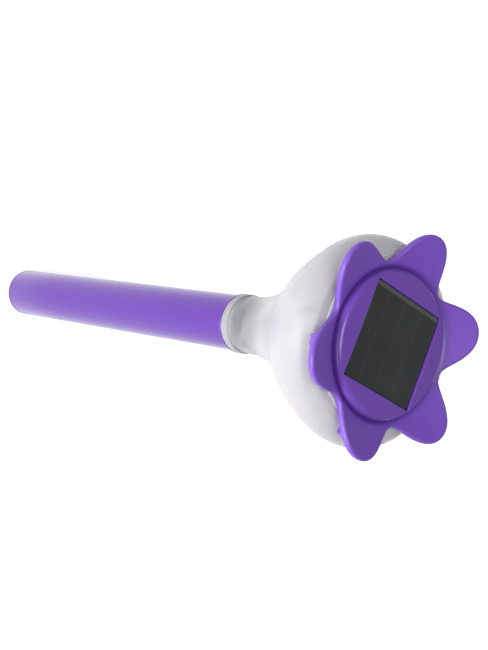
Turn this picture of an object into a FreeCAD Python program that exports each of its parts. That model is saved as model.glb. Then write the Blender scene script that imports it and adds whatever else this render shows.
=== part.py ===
import FreeCAD, Part
import math
import os

# Solar ultrasonic pest repeller: a stake tube, a frosted lamp head plugged into its mouth, and a
# flower-shaped solar cap that twists off the head. Millimetres. Z runs up the stake, the origin is
# the centre of its foot, and one petal points along +X.

V = FreeCAD.Vector

# Stake
stake_radius = 19.0
stake_wall = 1.2
stake_top = 294.0
bead_radius = 20.2
bead_height = 2.2
foot_thickness = 3.0
foot_edge_radius = 1.2
foot_plug_depth = 14.0
foot_web_gap = 1.5

# Lamp head: the neck plugs into the stake, the shade flares out of the neck
fit_gap = 0.08
spigot_length = 26.0
spigot_wall = 2.0
seal_level = 276.0
seal_section = 0.6
seal_groove_depth = 1.3
seal_groove_height = 2.0
seal_stretch = 0.67
throat_chamfer = 4.0
collar_radius = 20.1
collar_top = 300.5
neck_radius = 19.5
shade_wall = 1.8
shade_top = 424.6
# Outside of the shade as (radius, height), from the top of the neck to the rim
shade_outline = [
    (neck_radius, 316.0),
    (25.7, 339.0),
    (38.8, 362.0),
    (51.3, 380.0),
    (62.2, 400.0),
    (64.6, 409.5),
    (62.9, 417.5),
    (57.6, 422.7),
    (52.2, shade_top),
]
lip_radius = 49.6
lip_wall = 1.8
lip_bottom = 420.8

# Bayonet between shade and cap
lock_count = 3
lock_half_angle = 12.0
ledge_inner_radius = 47.2
ledge_height = 2.0
tab_radius = 49.2
tab_top = 420.5
tab_height = 2.7

# Flower cap
lid_thickness = 1.4
lid_top = shade_top + lid_thickness
lid_radius = 51.8
lid_sleeve_wall = 1.8
sleeve_fit = 0.3
lid_seal_radius = 50.9
lid_seal_half_width = 0.6
lid_seal_height = 0.65
hub_base = 428.0
hub_radius = 45.2
hub_edge_radius = 4.0
hub_crown = 0.9
box_radius = 44.2
box_wall = 2.0
box_bottom = 412.0
petal_count = 6
petal_mean = 61.1
petal_wave = 10.52
petal_second_wave = -0.7
petal_third_wave = -0.12
petal_slope = 0.42
petal_thickness = 4.5
petal_wall = 2.1
petal_edge_radius = 2.0
petal_hollow_start = 52.5
petal_seat = 0.3
valley_radius = 50.0
valley_top = hub_base + 2.0
lug_radius = 60.5
lug_depth = 4.0
lug_width = 7.0
lug_height = petal_thickness + 1.0
lug_offset_angle = -10.0

# Solar panel in the hub
panel_side = 59.6
pocket_side = 60.3
pocket_floor = 427.4
pocket_floor_wall = 1.6
gasket_side = 58.0
gasket_width = 4.0
gasket_thickness = 0.8
backing_thickness = 1.6
cell_thickness = 0.3
cell_count = 4
cell_length = 56.0
cell_pitch = 14.9
cell_gap = 0.6
cell_border = 0.6
busbar_width = 2.4
ribbon_width = 0.5
ribbon_thickness = 0.15
window_thickness = 1.3
window_relief = 0.5
panel_lead_y = 20.0

# Electronics in the cap
tray_thickness = 2.4
tray_radius = 46.8
tray_bottom = box_bottom - tray_thickness
screw_circle = 38.0
screw_head_radius = 2.2
screw_head_height = 1.6
screw_radius = 1.0
boss_radius = 2.6
pilot_radius = 1.05
pilot_depth = 9.0
tray_lip_wall = 1.1
tray_post_radius = 2.0
board_bottom = 415.0
board_thickness = 1.6
board_length = 62.0
board_width = 44.0
led_circle = 16.0
led_radius = 2.5
led_flange_radius = 2.9
led_leg_half_pitch = 1.27
led_dome_level = 406.5
switch_place = (20.0, -16.0)
switch_travel = 2.5
outlet_place = (-6.0, -31.0)
outlet_bottom = 400.0
outlet_radius = 4.6
outlet_bore = 2.9
gland_flange_radius = 4.2
gland_flange_height = 4.0
gland_stem_radius = 2.8
socket_y = -18.5
lead_radius = 1.3

# Cartridge inside the neck and stake
cartridge_radius = 15.4
cradle_wall = 1.8
cradle_floor = 3.0
cradle_neck_radius = 13.3
cradle_neck_bore = 11.5
cradle_neck_length = 8.0
rail_width = 3.0
bridge_width = 10.0
side_screw_clearance = 0.06
cell_clearance = 0.35
cell_radius = 7.15
cell_bottom = 251.0
cell_top = 300.5
cradle_bottom = 244.0
cradle_top = 290.0
bridge_bottom = 302.3
bridge_top = 305.3
housing_bottom = 206.0
sound_hole_radius = 1.2
sound_hole_circle = 6.0
diaphragm_level = 212.0
diaphragm_thickness = 0.4
piezo_thickness = 0.3
driver_level = 228.0
lead_track_radius = 11.4
cartridge_lead_radius = 0.9

stake_bore = stake_radius - stake_wall
spigot_radius = stake_bore - fit_gap
spigot_bottom = stake_top - spigot_length
neck_bore = spigot_radius - spigot_wall


def cylinder(radius, bottom, top, x=0.0, y=0.0):
    return Part.makeCylinder(radius, top - bottom, V(x, y, bottom))


def ring(outer, inner, bottom, top, x=0.0, y=0.0):
    return cylinder(outer, bottom, top, x, y).cut(cylinder(inner, bottom - 1.0, top + 1.0, x, y))


def block(length, width, bottom, top, x=0.0, y=0.0):
    corner = V(x - length / 2.0, y - width / 2.0, bottom)
    return Part.makeBox(length, width, top - bottom, corner)


def ring_sector(outer, inner, bottom, top, middle_angle, half_angle):
    height = top - bottom
    wedge = Part.makeCylinder(outer, height, V(0, 0, bottom), V(0, 0, 1), 2.0 * half_angle)
    wedge.rotate(V(0, 0, 0), V(0, 0, 1), middle_angle - half_angle)
    return wedge.cut(cylinder(inner, bottom - 1.0, top + 1.0))


def polar(radius, angle):
    turn = math.radians(angle)
    return radius * math.cos(turn), radius * math.sin(turn)


def around(count, radius, first_angle=0.0):
    return [polar(radius, first_angle + 360.0 * i / count) for i in range(count)]


def joined(shapes):
    return shapes[0].multiFuse(shapes[1:]).removeSplitter()


def without(shape, cutters):
    return shape.cut(Part.makeCompound(cutters))


def turned(edges):
    """Spin a closed outline of edges in the XZ plane about Z."""
    wire = Part.Wire(edges)
    solid = Part.Face(wire).revolve(V(0, 0, 0), V(0, 0, 1), 360.0)
    return Part.Solid(solid) if solid.ShapeType == "Shell" else solid


def turned_polygon(points):
    corners = [V(r, 0, z) for r, z in points]
    corners.append(corners[0])
    return turned([Part.LineSegment(a, b).toShape() for a, b in zip(corners, corners[1:])])


def bent_rod(points, bends, radius):
    """A round rod along straight runs, with one tangent arc of the given radius at each corner."""
    corners = [V(*p) for p in points]
    edges = []
    start = corners[0]
    for before, corner, after, bend in zip(corners, corners[1:], corners[2:], bends):
        towards = (before - corner).normalize()
        away = (after - corner).normalize()
        half = towards.getAngle(away) / 2.0
        arc_start = corner + towards * (bend / math.tan(half))
        arc_end = corner + away * (bend / math.tan(half))
        middle_way = (towards + away).normalize()
        arc_middle = corner + middle_way * (bend / math.sin(half) - bend)
        edges.append(Part.LineSegment(start, arc_start).toShape())
        edges.append(Part.Arc(arc_start, arc_middle, arc_end).toShape())
        start = arc_end
    edges.append(Part.LineSegment(start, corners[-1]).toShape())
    path = Part.Wire(edges)
    section = Part.Wire(Part.makeCircle(radius, corners[0], corners[1] - corners[0]))
    return path.makePipeShell([section], True, True)


def stake_tube():
    bead = ring(bead_radius, stake_bore, stake_top - bead_height, stake_top)
    outer_edges = [e for e in bead.Edges if e.BoundBox.XMax > bead_radius - 0.1 and e.Closed]
    bead = bead.makeFillet(bead_height * 0.4, outer_edges)
    return joined([ring(stake_radius, stake_bore, foot_thickness, stake_top), bead])


def foot_plug():
    flange = cylinder(stake_radius, 0.0, foot_thickness)
    bottom_edges = [e for e in flange.Edges if e.BoundBox.ZMax < 0.1]
    flange = flange.makeFillet(foot_edge_radius, bottom_edges)
    plug_top = foot_thickness + foot_plug_depth
    plug = ring(stake_bore - fit_gap, stake_bore - spigot_wall, foot_thickness, plug_top)
    web_length = 2.0 * (stake_bore - foot_web_gap)
    web_top = plug_top - 2.0
    webs = [
        block(web_length, spigot_wall, foot_thickness, web_top),
        block(spigot_wall, web_length, foot_thickness, web_top),
    ]
    return joined([flange, plug] + webs)


def shade_curve(points):
    curve = Part.BSplineCurve()
    curve.interpolate([V(r, 0, z) for r, z in points])
    return curve


def shade_inner_points():
    """The outline moved inwards by the wall, square to the outside."""
    curve = shade_curve(shade_outline)
    moved = []
    for r, z in shade_outline:
        run = curve.tangent(curve.parameter(V(r, 0, z)))[0]
        moved.append((r - run.z * shade_wall, z + run.x * shade_wall))
    moved[0] = (neck_radius - shade_wall, shade_outline[0][1])
    return moved


def shade_bell():
    inner = shade_inner_points()
    neck_end = shade_outline[0][1]
    outside = [
        (neck_bore, spigot_bottom),
        (spigot_radius, spigot_bottom),
        (spigot_radius, stake_top),
        (collar_radius, stake_top),
        (collar_radius, collar_top),
        (neck_radius, collar_top),
        (neck_radius, neck_end),
    ]
    corners = [V(r, 0, z) for r, z in outside]
    edges = [Part.LineSegment(a, b).toShape() for a, b in zip(corners, corners[1:])]
    edges.append(shade_curve(shade_outline).toShape())
    lip = [shade_outline[-1], (lip_radius, shade_top), (lip_radius, lip_bottom)]
    lip += [(lip_radius + lip_wall, lip_bottom), inner[-1]]
    lip_corners = [V(r, 0, z) for r, z in lip]
    edges.extend(Part.LineSegment(a, b).toShape() for a, b in zip(lip_corners, lip_corners[1:]))
    edges.append(shade_curve(inner[::-1]).toShape())
    throat = inner[0][0]
    inside = [(throat, neck_end), (throat, collar_top), (neck_bore, collar_top - throat_chamfer)]
    back = [V(r, 0, z) for r, z in inside] + [corners[0]]
    edges.extend(Part.LineSegment(a, b).toShape() for a, b in zip(back, back[1:]))
    bell = turned(edges)
    ledge_top = lip_bottom + ledge_height
    for i in range(lock_count):
        middle = 360.0 * i / lock_count
        ledge = ring_sector(
            lip_radius + 0.5, ledge_inner_radius, lip_bottom, ledge_top, middle, lock_half_angle
        )
        bell = bell.fuse(ledge)
    groove_bottom = seal_level - seal_groove_height / 2.0
    groove_floor = spigot_radius - seal_groove_depth
    groove_top = groove_bottom + seal_groove_height
    seal_groove = ring(spigot_radius + 1.0, groove_floor, groove_bottom, groove_top)
    return bell.cut(seal_groove)


def neck_seal():
    return Part.makeTorus(spigot_radius - seal_stretch, seal_section, V(0, 0, seal_level))


def battery_cradle():
    pocket = cell_radius + cell_clearance
    floor_top = cradle_bottom + cradle_floor
    outer = ring(cartridge_radius, cartridge_radius - cradle_wall, cradle_bottom, cradle_top)
    inner = ring(pocket + cradle_wall, pocket, cradle_bottom, cradle_top)
    floor = cylinder(cartridge_radius, cradle_bottom, floor_top)
    flange = ring(spigot_radius - 0.2, cartridge_radius - 1.0, spigot_bottom - 2.5, spigot_bottom)
    neck_end = cradle_bottom - cradle_neck_length
    neck = ring(cradle_neck_radius, cradle_neck_bore, neck_end, cradle_bottom)
    rail_x = pocket + 2.4
    rails = [block(rail_width, 6.0, floor_top, bridge_bottom, side * rail_x) for side in (-1, 1)]
    spokes = [block(3.0, 2.0, cradle_bottom, cradle_top, side * 12.6) for side in (-1, 1)]
    bridge = block(2.0 * rail_x + rail_width, bridge_width, bridge_bottom, bridge_top)
    cradle = joined([outer, inner, floor, flange, neck, bridge] + rails + spokes)
    lead_hole = cylinder(1.1, cradle_bottom - 9.0, floor_top + 1.0, 0.0, lead_track_radius)
    lead_socket = cylinder(1.5, bridge_bottom + 1.4, bridge_top + 1.0)
    screw_holes = [side_screw(side, side_screw_clearance) for side in (-1, 1)]
    return without(cradle, [lead_hole, lead_socket] + screw_holes)


def battery_cell():
    body = cylinder(cell_radius, cell_bottom, cell_top)
    body = body.makeFillet(0.5, [e for e in body.Edges if e.Closed])
    return joined([body, cylinder(2.6, cell_top - 1.0, bridge_bottom - 0.5)])


def contact_plate():
    plate = cylinder(6.0, bridge_bottom - 0.5, bridge_bottom)
    return joined([plate, block(3.0, 1.6, cell_top + 0.4, bridge_bottom - 0.1, 0.0, 5.6)])


def contact_spring():
    """A leaf bowed up under the flat end of the cell."""
    foot = cradle_bottom + cradle_floor
    crown = cell_bottom - 0.05
    half_span = 6.0
    leaf = 0.4
    width = 5.0
    over = Part.Arc(V(-half_span, 0, foot + leaf), V(0, 0, crown), V(half_span, 0, foot + leaf))
    under = Part.Arc(V(half_span, 0, foot), V(0, 0, crown - leaf), V(-half_span, 0, foot))
    sides = [
        Part.LineSegment(V(half_span, 0, foot + leaf), V(half_span, 0, foot)),
        Part.LineSegment(V(-half_span, 0, foot), V(-half_span, 0, foot + leaf)),
    ]
    outline = Part.Wire([over.toShape(), sides[0].toShape(), under.toShape(), sides[1].toShape()])
    strip = Part.Face(outline).extrude(V(0, width, 0))
    strip.translate(V(0, -width / 2.0, 0))
    return strip


def sounder_housing():
    wall_inner = 13.5
    wall = ring(cartridge_radius, wall_inner, housing_bottom, cradle_bottom)
    floor = cylinder(cartridge_radius, housing_bottom, housing_bottom + 2.0)
    sound_holes = []
    for x, y in [(0.0, 0.0)] + around(6, sound_hole_circle):
        hole = cylinder(sound_hole_radius, housing_bottom - 1.0, housing_bottom + 3.0, x, y)
        sound_holes.append(hole)
    lower_ledge = ring(wall_inner + 0.2, 11.6, housing_bottom + 1.0, diaphragm_level)
    upper_ledge = ring(wall_inner + 0.2, 12.2, driver_level - 2.0, driver_level)
    housing = joined([wall, floor, lower_ledge, upper_ledge])
    screw_holes = [side_screw(side, side_screw_clearance) for side in (-1, 1)]
    return without(housing, sound_holes + screw_holes)


def sounder_diaphragm():
    return cylinder(13.2, diaphragm_level, diaphragm_level + diaphragm_thickness)


def piezo_disc():
    bottom = diaphragm_level + diaphragm_thickness
    return cylinder(9.0, bottom, bottom + piezo_thickness)


def sounder_ring():
    bottom = diaphragm_level + diaphragm_thickness
    return ring(13.3, 11.6, bottom, bottom + 2.2)


def driver_board():
    board = cylinder(13.0, driver_level, driver_level + board_thickness)
    return without(board, [cylinder(0.6, driver_level - 1.0, driver_level + 3.0, 5.0, 0.0)])


def driver_parts():
    top = driver_level + board_thickness
    coil = joined([cylinder(4.0, top, top + 6.0, -5.5, 0.0), block(3.0, 3.0, top, top + 1.0, -9.6)])
    chip = block(5.0, 6.0, top, top + 1.6, 3.0, -6.5)
    capacitor = cylinder(2.5, top, top + 6.0, 6.0, 5.0)
    return Part.makeCompound([coil, chip, capacitor])


def sounder_leads():
    bottom = diaphragm_level + diaphragm_thickness + piezo_thickness
    return Part.makeCompound([cylinder(0.5, bottom, driver_level, x, 0.0) for x in (-6.0, 6.0)])


def side_screw(side, clearance=0.0):
    """One radial screw that holds the sounder housing to the neck of the cradle."""
    level = cradle_bottom - 4.0
    out = V(side, 0, 0)
    head = Part.makeCylinder(1.9 + clearance, 1.1 + clearance, V(side * 14.6, 0, level), out)
    shank = Part.makeCylinder(0.9 + clearance, 3.2, V(side * 11.8, 0, level), out)
    return head.fuse(shank)


def cartridge_screws():
    return Part.makeCompound([side_screw(side) for side in (-1, 1)])


def cartridge_lead():
    bottom = driver_level + board_thickness
    return cylinder(cartridge_lead_radius, bottom, bridge_bottom, 0.0, lead_track_radius)


def petal_outline(inset):
    """Six round petals: the radius is a wave of the angle about the axis."""
    points = []
    samples = 12 * petal_count
    for i in range(samples):
        turn = 2.0 * math.pi * i / samples
        wave = petal_wave * math.cos(petal_count * turn)
        second = petal_second_wave * math.cos(2 * petal_count * turn)
        third = petal_third_wave * math.cos(3 * petal_count * turn)
        radius = petal_mean + wave + second + third - inset
        points.append(V(radius * math.cos(turn), radius * math.sin(turn), 0))
    curve = Part.BSplineCurve()
    curve.interpolate(points, PeriodicFlag=True)
    return Part.Face(Part.Wire(curve.toShape()))


def petal_blank(inset, lowered, inner):
    """The dished plate cut to the petal outline, its top face lowered by a wall."""
    reach = 76.0
    flat_end = valley_radius + (lid_top - (valley_top - petal_thickness)) / petal_slope
    top_inner = valley_top + petal_slope * (inner - valley_radius) - lowered
    top_outer = valley_top + petal_slope * (reach - valley_radius) - lowered
    bottom_outer = lid_top + petal_slope * (reach - flat_end)
    dish = turned_polygon(
        [
            (inner, lid_top),
            (flat_end, lid_top),
            (reach, bottom_outer),
            (reach, top_outer),
            (inner, top_inner),
        ]
    )
    prism = petal_outline(inset).extrude(V(0, 0, 30.0))
    prism.translate(V(0, 0, lid_top - 1.0))
    return dish.common(prism)


def petal_ring():
    plate = petal_blank(0.0, 0.0, hub_radius + petal_seat)
    tallest = max(e.BoundBox.ZMax for e in plate.Edges)
    rim = [e for e in plate.Edges if e.BoundBox.ZMax > tallest - 0.1 and e.Length > 100.0]
    plate = plate.makeFillet(petal_edge_radius, rim)
    hollow = petal_blank(petal_wall, petal_wall, petal_hollow_start)
    sunk = hollow.copy()
    sunk.translate(V(0, 0, -petal_thickness))
    plate = plate.cut(hollow).cut(sunk)
    flange = ring(hub_radius + 2.0 * petal_seat, box_radius + 0.2, lid_top, hub_base - 0.5)
    lugs = []
    for x, y in around(petal_count, lug_radius, lug_offset_angle):
        lug = block(lug_depth, lug_width, lid_top, lid_top + lug_height, math.hypot(x, y))
        lug.rotate(V(0, 0, 0), V(0, 0, 1), math.degrees(math.atan2(y, x)))
        lugs.append(lug)
    return joined([plate, flange] + lugs)


def hub_housing():
    step = hub_base - 0.4
    shoulder = hub_base + 0.1
    flat_radius = hub_radius - hub_edge_radius
    edge_top = shoulder + hub_edge_radius
    diagonal = hub_edge_radius * math.sqrt(0.5)
    centre_top = V(0, 0, edge_top + hub_crown)
    crown_middle = V(flat_radius / 2.0, 0, edge_top + hub_crown * 0.75)
    corners = [
        V(0, 0, box_bottom),
        V(box_radius, 0, box_bottom),
        V(box_radius, 0, step),
        V(hub_radius, 0, step),
        V(hub_radius, 0, shoulder),
    ]
    edges = [Part.LineSegment(a, b).toShape() for a, b in zip(corners, corners[1:])]
    edge_end = V(flat_radius, 0, edge_top)
    edge_middle = V(flat_radius + diagonal, 0, shoulder + diagonal)
    edges.append(Part.Arc(corners[-1], edge_middle, edge_end).toShape())
    edges.append(Part.Arc(edge_end, crown_middle, centre_top).toShape())
    edges.append(Part.LineSegment(centre_top, corners[0]).toShape())
    hub = turned(edges)
    pocket = block(pocket_side, pocket_side, pocket_floor, edge_top + 5.0)
    floor_bottom = pocket_floor - pocket_floor_wall
    cavity = cylinder(box_radius - box_wall, box_bottom - 1.0, floor_bottom)
    lead_slot = block(6.0, 3.0, floor_bottom - 1.0, pocket_floor + 1.0, 0.0, panel_lead_y)
    hub = without(hub, [pocket, cavity, lead_slot])
    bosses = []
    pilots = []
    for x, y in around(4, screw_circle, 45.0):
        bosses.append(cylinder(boss_radius, box_bottom, floor_bottom + 0.2, x, y))
        pilots.append(cylinder(pilot_radius, box_bottom - 1.0, box_bottom + pilot_depth, x, y))
    return without(joined([hub] + bosses), pilots)


def panel_gasket():
    top = pocket_floor + gasket_thickness
    opening = gasket_side - 2.0 * gasket_width
    frame = block(gasket_side, gasket_side, pocket_floor, top)
    return frame.cut(block(opening, opening, pocket_floor - 1.0, top + 1.0))


def solar_backing():
    bottom = pocket_floor + gasket_thickness
    return block(panel_side, panel_side, bottom, bottom + backing_thickness)


def cell_level():
    return pocket_floor + gasket_thickness + backing_thickness


def cell_place():
    """Middle of the strips in X: the busbar takes the -X border."""
    return (panel_side - cell_length) / 2.0 - cell_border


def solar_cells():
    """Strips along X, counted from the +Y edge; the last one is cut short at the panel's border."""
    edge = panel_side / 2.0 - cell_border
    top = cell_level() + cell_thickness
    strips = []
    for i in range(cell_count):
        high = edge - cell_gap - i * cell_pitch
        low = max(high - cell_pitch + cell_gap, -edge)
        strips.append(block(cell_length, high - low, cell_level(), top, cell_place(), (high + low) / 2.0))
    return Part.makeCompound(strips)


def cell_ribbons():
    bottom = cell_level() + cell_thickness
    top = bottom + ribbon_thickness
    edge = panel_side / 2.0 - cell_border
    ribbons = [block(busbar_width, cell_length, cell_level(), top, -edge + busbar_width / 2.0)]
    for i in range(cell_count):
        y = edge - cell_gap - i * cell_pitch - 0.9 * ribbon_width
        ribbons.append(block(cell_length, ribbon_width, bottom, top, cell_place(), y))
    return Part.makeCompound(ribbons)


def solar_window():
    slab = block(panel_side, panel_side, cell_level(), cell_level() + window_thickness)
    hollow_side = panel_side - cell_border
    return slab.cut(block(hollow_side, hollow_side, cell_level() - 1.0, cell_level() + window_relief))


def seal_track(clearance):
    """The square ring between the lid and the rim of the shade."""
    half_width = lid_seal_half_width + clearance
    outer = lid_seal_radius + half_width
    inner = lid_seal_radius - half_width
    return ring(outer, inner, shade_top - clearance, shade_top + lid_seal_height + clearance)


def shade_lid():
    sleeve_inner = box_radius + sleeve_fit
    sleeve_outer = sleeve_inner + lid_sleeve_wall
    disc = ring(lid_radius, sleeve_inner, shade_top, lid_top)
    sleeve = ring(sleeve_outer, sleeve_inner, box_bottom, lid_top)
    tabs = []
    for i in range(lock_count):
        middle = 360.0 * i / lock_count
        half = lock_half_angle - 1.0
        tabs.append(
            ring_sector(tab_radius, sleeve_outer - 0.5, tab_top - tab_height, tab_top, middle, half)
        )
    return joined([disc, sleeve] + tabs).cut(seal_track(0.05))


def lid_seal():
    return seal_track(0.0)


def electronics_tray():
    plate = cylinder(tray_radius, tray_bottom, box_bottom)
    lip_outer = box_radius - box_wall - 0.2
    lip = ring(lip_outer, lip_outer - tray_lip_wall, box_bottom - 0.5, box_bottom + 2.0)
    posts = []
    for x in (-27.0, 27.0):
        for y in (-18.0, 18.0):
            posts.append(cylinder(tray_post_radius, box_bottom - 0.5, board_bottom, x, y))
    outlet_x, outlet_y = outlet_place
    outlet = cylinder(outlet_radius, outlet_bottom, box_bottom, outlet_x, outlet_y)
    tray = joined([plate, lip, outlet] + posts)
    holes = [cylinder(outlet_bore, outlet_bottom - 1.0, box_bottom + 1.0, outlet_x, outlet_y)]
    for x, y in around(4, screw_circle, 45.0):
        holes.append(cylinder(1.3, tray_bottom - 1.0, box_bottom + 1.0, x, y))
    for x, y in around(3, led_circle, 90.0):
        holes.append(cylinder(led_radius + 0.2, tray_bottom - 1.0, box_bottom + 1.0, x, y))
    slot_x, slot_y = switch_place
    holes.append(block(switch_travel + 4.0, 2.8, tray_bottom - 1.0, box_bottom + 1.0, slot_x, slot_y))
    return without(tray, holes)


def tray_screws():
    screws = []
    for x, y in around(4, screw_circle, 45.0):
        head = cylinder(screw_head_radius, tray_bottom - screw_head_height, tray_bottom, x, y)
        shank = cylinder(screw_radius, tray_bottom - 0.5, box_bottom + 7.0, x, y)
        cross = [
            block(2.4, 0.6, tray_bottom - 2.0, tray_bottom - 0.8, x, y),
            block(0.6, 2.4, tray_bottom - 2.0, tray_bottom - 0.8, x, y),
        ]
        screws.append(without(head.fuse(shank), cross))
    return Part.makeCompound(screws)


def main_board():
    board = block(board_length, board_width, board_bottom, board_bottom + board_thickness)
    holes = []
    for x, y in around(3, led_circle, 90.0):
        for leg in (-led_leg_half_pitch, led_leg_half_pitch):
            holes.append(cylinder(0.4, board_bottom - 1.0, board_bottom + 3.0, x + leg, y))
    return without(board, holes)


def board_parts():
    top = board_bottom + board_thickness
    chip = block(8.0, 6.0, top, top + 1.8, 4.0, 2.0)
    coil = cylinder(3.5, top, top + 5.0, 17.0, 8.0)
    capacitor = cylinder(3.2, top, top + 6.0, -17.0, 7.0)
    socket = block(8.0, 5.0, top, top + 4.0, outlet_place[0], socket_y)
    return Part.makeCompound([chip, coil, capacitor, socket])


def lamp_leds():
    leds = []
    leg_top = board_bottom + board_thickness
    for x, y in around(3, led_circle, 90.0):
        body = cylinder(led_radius, led_dome_level, box_bottom + 1.2, x, y)
        dome = Part.makeSphere(led_radius, V(x, y, led_dome_level))
        flange = cylinder(led_flange_radius, box_bottom + 0.2, box_bottom + 1.2, x, y)
        legs = []
        for leg in (-led_leg_half_pitch, led_leg_half_pitch):
            legs.append(cylinder(0.3, box_bottom + 1.0, leg_top, x + leg, y))
        leds.append(joined([body, dome, flange] + legs))
    return Part.makeCompound(leds)


def power_switch():
    x, y = switch_place
    body = block(10.0, 5.0, box_bottom + 0.2, board_bottom, x, y)
    return body.cut(block(switch_travel + 3.6, 2.6, box_bottom - 1.0, board_bottom - 0.8, x, y))


def switch_slider():
    """The nub at its off position, at the -X end of the slot."""
    x, y = switch_place
    x = x - switch_travel / 2.0
    nub = block(3.0, 2.0, tray_bottom - 2.4, board_bottom - 1.0, x, y)
    grooves = []
    for offset in (-0.8, 0.0, 0.8):
        grooves.append(block(0.3, 3.0, tray_bottom - 3.0, tray_bottom - 2.1, x + offset, y))
    return without(nub, grooves)


def outlet_gland():
    x, y = outlet_place
    flange_bottom = outlet_bottom - gland_flange_height
    flange = cylinder(gland_flange_radius, flange_bottom, outlet_bottom, x, y)
    flange = flange.makeFillet(1.0, [e for e in flange.Edges if e.BoundBox.ZMax < flange_bottom + 0.1])
    stem = cylinder(gland_stem_radius, outlet_bottom - 0.5, outlet_bottom + 5.0, x, y)
    bore = cylinder(lead_radius + 0.05, flange_bottom - 1.0, outlet_bottom + 6.0, x, y)
    return joined([flange, stem]).cut(bore)


def head_lead():
    """Two-core lead: board socket, cap outlet, down the axis of the neck to the cradle bridge."""
    x, y = outlet_place
    socket_level = board_bottom + board_thickness + 2.0
    points = [
        (x, -21.0, socket_level),
        (x, y, socket_level),
        (x, y, 380.0),
        (0.0, 0.0, 322.0),
        (0.0, 0.0, bridge_bottom + 1.5),
    ]
    return bent_rod(points, (4.4, 45.0, 33.0), lead_radius)


def panel_leads():
    bottom = board_bottom + board_thickness
    top = pocket_floor + gasket_thickness
    return Part.makeCompound([cylinder(0.5, bottom, top, x, panel_lead_y) for x in (-1.5, 1.5)])


parts = {
    "stake_tube": stake_tube,
    "foot_plug": foot_plug,
    "shade_bell": shade_bell,
    "neck_seal": neck_seal,
    "battery_cradle": battery_cradle,
    "battery_cell": battery_cell,
    "contact_plate": contact_plate,
    "contact_spring": contact_spring,
    "sounder_housing": sounder_housing,
    "sounder_diaphragm": sounder_diaphragm,
    "piezo_disc": piezo_disc,
    "sounder_ring": sounder_ring,
    "driver_board": driver_board,
    "driver_parts": driver_parts,
    "sounder_leads": sounder_leads,
    "cartridge_screws": cartridge_screws,
    "cartridge_lead": cartridge_lead,
    "petal_ring": petal_ring,
    "hub_housing": hub_housing,
    "panel_gasket": panel_gasket,
    "solar_backing": solar_backing,
    "solar_cells": solar_cells,
    "cell_ribbons": cell_ribbons,
    "solar_window": solar_window,
    "shade_lid": shade_lid,
    "lid_seal": lid_seal,
    "electronics_tray": electronics_tray,
    "tray_screws": tray_screws,
    "main_board": main_board,
    "board_parts": board_parts,
    "lamp_leds": lamp_leds,
    "power_switch": power_switch,
    "switch_slider": switch_slider,
    "outlet_gland": outlet_gland,
    "head_lead": head_lead,
    "panel_leads": panel_leads,
}

os.makedirs("parts", exist_ok=True)
for name, make in parts.items():
    shape = make()
    if not shape.isValid():
        raise ValueError(name + " is not a valid shape")
    shape.exportStep("parts/" + name + ".step")
    print(name, len(shape.Solids), "solids", round(shape.Volume / 1000.0, 3), "cm3")
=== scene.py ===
import math

import bmesh
import bpy
from mathutils import Matrix, Vector


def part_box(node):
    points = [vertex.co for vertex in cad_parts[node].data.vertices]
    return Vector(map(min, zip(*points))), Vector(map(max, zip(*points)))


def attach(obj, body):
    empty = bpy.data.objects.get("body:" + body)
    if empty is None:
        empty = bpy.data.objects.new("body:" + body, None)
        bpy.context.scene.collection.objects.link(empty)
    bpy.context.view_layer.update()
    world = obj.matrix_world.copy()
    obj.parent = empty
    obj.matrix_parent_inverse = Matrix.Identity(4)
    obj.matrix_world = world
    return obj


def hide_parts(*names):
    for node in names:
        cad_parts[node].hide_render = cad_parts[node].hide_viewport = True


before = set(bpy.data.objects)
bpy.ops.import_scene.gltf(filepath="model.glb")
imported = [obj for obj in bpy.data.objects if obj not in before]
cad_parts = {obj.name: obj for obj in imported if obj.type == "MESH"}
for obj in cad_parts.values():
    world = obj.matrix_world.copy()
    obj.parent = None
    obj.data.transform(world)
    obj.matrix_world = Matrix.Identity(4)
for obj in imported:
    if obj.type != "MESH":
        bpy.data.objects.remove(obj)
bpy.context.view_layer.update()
MM = 0.001


# Camera. It looks down at the flower over the near petals, rolled until the stake lies to the left.
hub_low, hub_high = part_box("hub_housing")
sight_depth = 5.0
flower_middle = Vector((0, 0, hub_high.z - sight_depth * MM))
camera_offset = Vector((150.9, -489.9, 475.0)) * MM
look_azimuth = math.radians(17.03)
look_elevation = math.radians(49.88)
camera_roll = math.radians(98.36)
level_right = Vector((math.cos(look_azimuth), math.sin(look_azimuth), 0))
back = Vector(
    (
        math.sin(look_azimuth) * math.cos(look_elevation),
        -math.cos(look_azimuth) * math.cos(look_elevation),
        math.sin(look_elevation),
    )
)
level_up = back.cross(level_right)
right = level_right * math.cos(camera_roll) + level_up * math.sin(camera_roll)
up = back.cross(right)
camera_data = bpy.data.cameras.new("camera")
camera_data.lens = 65.2
camera_data.clip_start = 0.02
camera = bpy.data.objects.new("camera", camera_data)
camera.matrix_world = Matrix.Translation(flower_middle + camera_offset) @ (
    Matrix((right, up, back)).transposed().to_4x4()
)
bpy.context.scene.collection.objects.link(camera)
bpy.context.scene.camera = camera


# Colours are written as sRGB hex, as a colour card gives them, and turned to linear light here.
def linear(hex_colour):
    values = []
    for i in (1, 3, 5):
        v = int(hex_colour[i:i + 2], 16) / 255.0
        values.append(v / 12.92 if v <= 0.04045 else ((v + 0.055) / 1.055) ** 2.4)
    return (*values, 1.0)


# One node with its settings and links: values by socket name, links as (from socket, to socket name).
def add_node(tree, kind, settings=None, values=None, links=()):
    node = tree.nodes.new(kind)
    for key, value in (settings or {}).items():
        setattr(node, key, value)
    for key, value in (values or {}).items():
        node.inputs[key].default_value = value
    for source, key in links:
        tree.links.new(source, node.inputs[key])
    return node


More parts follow.
